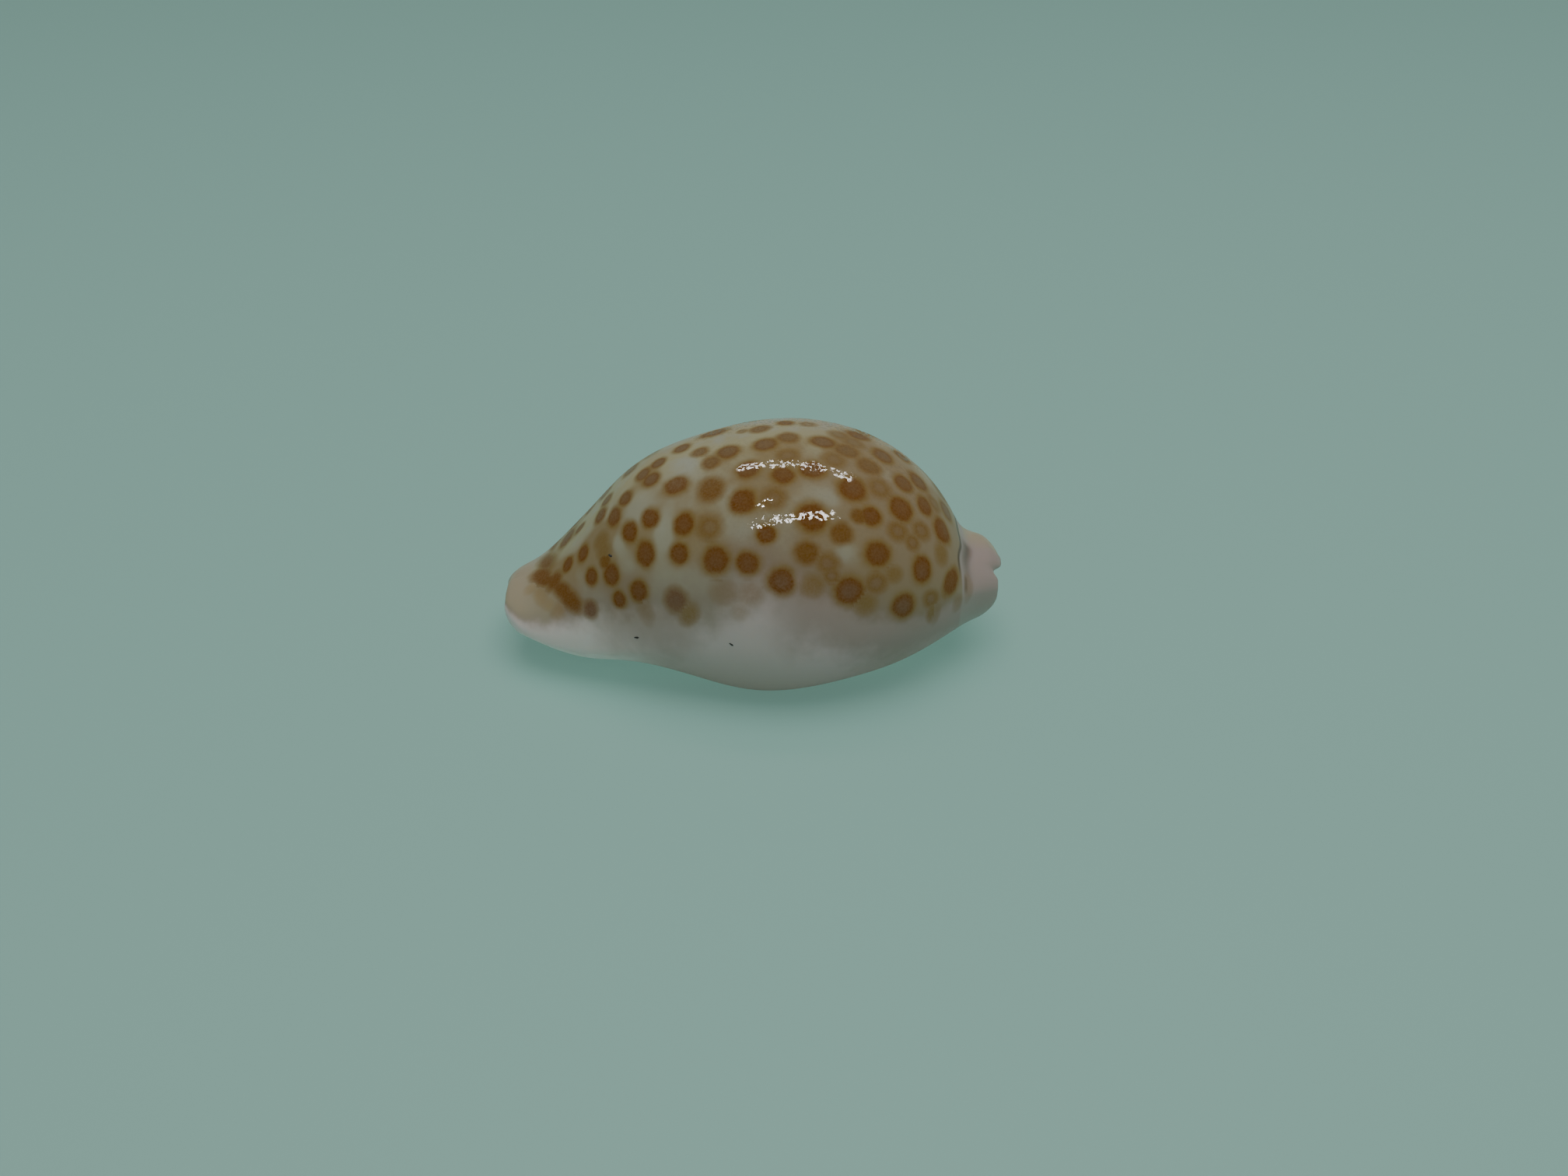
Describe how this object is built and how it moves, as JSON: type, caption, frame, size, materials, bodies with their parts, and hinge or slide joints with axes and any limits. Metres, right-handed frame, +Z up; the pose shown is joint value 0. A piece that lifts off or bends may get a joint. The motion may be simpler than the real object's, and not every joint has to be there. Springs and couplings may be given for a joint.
{
  "type": "cowrie shell",
  "caption": "Small humped cowrie shell with rounded margins, two short beaks and a narrow toothed slit along its base, resting on the base.",
  "frame": {"origin": "on the ground plane, under the middle of the shell's box", "axes": "+X along the shell towards its rear end, +Y to the outer lip's side, +Z up from the toothed base to the humped back"},
  "size_m": [0.013, 0.008, 0.0061],
  "materials": {
    "enamel": "glossy natural enamel, cream with brown eye spots on the back, white on the margins and base"
  },
  "bodies": {
    "root": {"shell": "enamel"}
  },
  "joints": []
}
